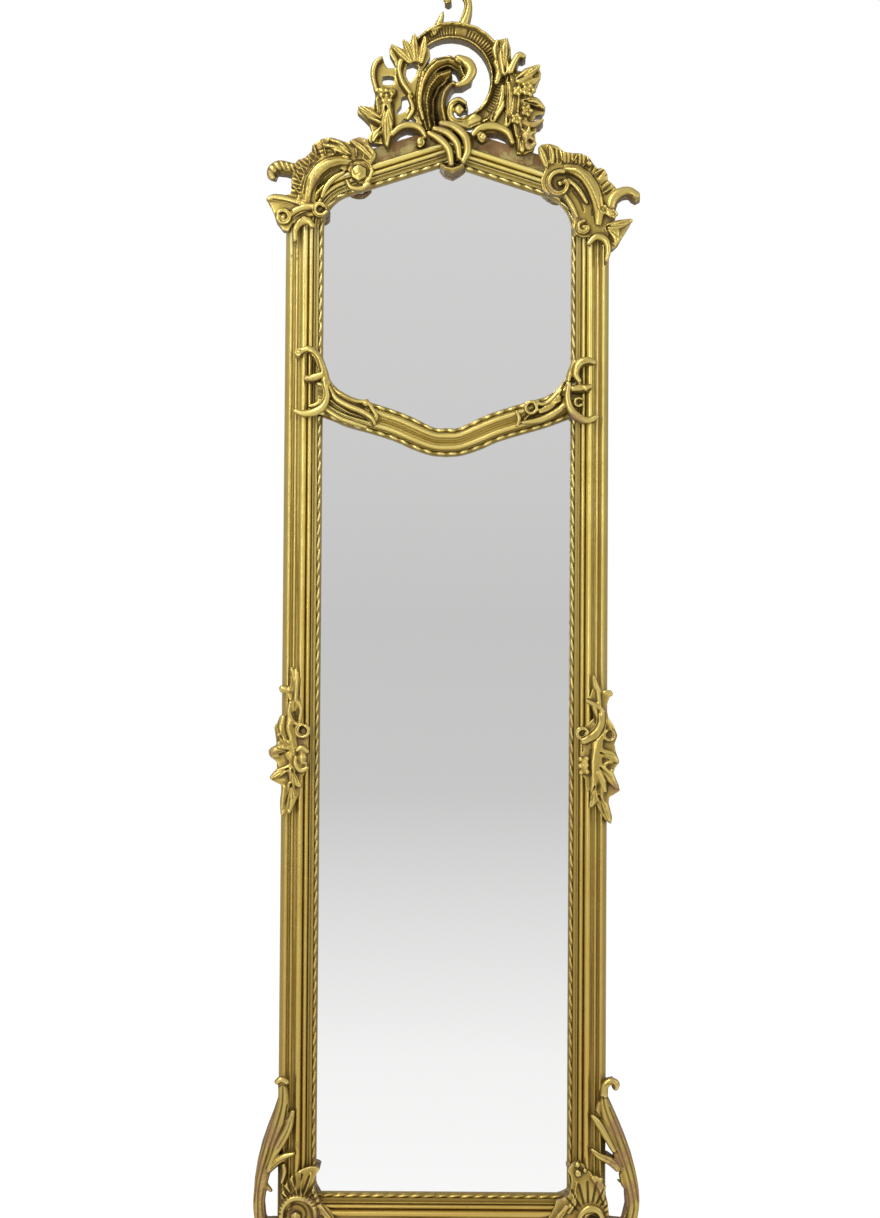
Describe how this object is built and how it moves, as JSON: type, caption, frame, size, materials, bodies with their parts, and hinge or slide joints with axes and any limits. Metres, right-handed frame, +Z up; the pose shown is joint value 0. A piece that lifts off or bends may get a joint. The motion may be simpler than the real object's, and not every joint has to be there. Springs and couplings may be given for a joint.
{
  "type": "pier mirror",
  "caption": "Tall rococo pier mirror with two mirror plates parted by a serpentine cross rail, in a gilded carved frame with a pierced scroll crest.",
  "frame": {"origin": "centre of the bottom rail's flat back face, on the wall plane", "axes": "+Z up along the frame, +Y into the wall, +X to the right as seen from the front; the mirror looks along -Y"},
  "size_m": [0.5756, 0.0652, 1.8732],
  "materials": {
    "gilded_wood": "gold leaf over gesso and bole, burnished on the crowns and worn in places",
    "silvered_glass": "silvered plate glass, polished",
    "backing_wood": "plain sawn softwood",
    "steel": "plain steel, dull"
  },
  "bodies": {
    "frame": {"bottom_rail": "gilded_wood", "corner_cartouche_left": "gilded_wood", "corner_cartouche_right": "gilded_wood", "crest_clasp": "gilded_wood", "crest_finial": "gilded_wood", "crest_left_spray": "gilded_wood", "crest_plume": "gilded_wood", "crest_right_spray": "gilded_wood", "crest_ring": "gilded_wood", "crest_strut": "backing_wood", "cross_clasp_left": "gilded_wood", "cross_clasp_right": "gilded_wood", "cross_rail": "gilded_wood", "ear_left": "gilded_wood", "ear_right": "gilded_wood", "foot_shell_left": "gilded_wood", "foot_shell_right": "gilded_wood", "hanger_screw_left_1": "steel", "hanger_screw_left_2": "steel", "hanger_screw_right_1": "steel", "hanger_screw_right_2": "steel", "left_stile": "gilded_wood", "lower_backboard": "backing_wood", "lower_mirror_plate": "silvered_glass", "pediment_board": "gilded_wood", "right_stile": "gilded_wood", "sight_slip_bottom": "gilded_wood", "sight_slip_cross_bottom": "gilded_wood", "sight_slip_cross_top": "gilded_wood", "sight_slip_lower_left": "gilded_wood", "sight_slip_lower_right": "gilded_wood", "sight_slip_top_left": "gilded_wood", "sight_slip_top_right": "gilded_wood", "sight_slip_upper_left": "gilded_wood", "sight_slip_upper_right": "gilded_wood", "stile_mount_left": "gilded_wood", "stile_mount_right": "gilded_wood", "strap_hanger_left": "steel", "strap_hanger_right": "steel", "strut_screw_1": "steel", "strut_screw_2": "steel", "strut_screw_3": "steel", "strut_screw_4": "steel", "top_corner_left": "gilded_wood", "top_corner_right": "gilded_wood", "top_rail_left": "gilded_wood", "top_rail_right": "gilded_wood", "upper_backboard": "backing_wood", "upper_mirror_plate": "silvered_glass"},
    "ring_left": {"hanger_ring_left": "steel"},
    "ring_right": {"hanger_ring_right": "steel"}
  },
  "joints": [
    {"name": "left_ring_swing", "type": "hinge", "parent": "frame", "child": "ring_left", "pos_m": [-0.223, 0.0038, 1.2715], "axis": [1, 0, 0], "range_deg": [0, 180]},
    {"name": "right_ring_swing", "type": "hinge", "parent": "frame", "child": "ring_right", "pos_m": [0.223, 0.0038, 1.2715], "axis": [1, 0, 0], "range_deg": [0, 180]}
  ]
}
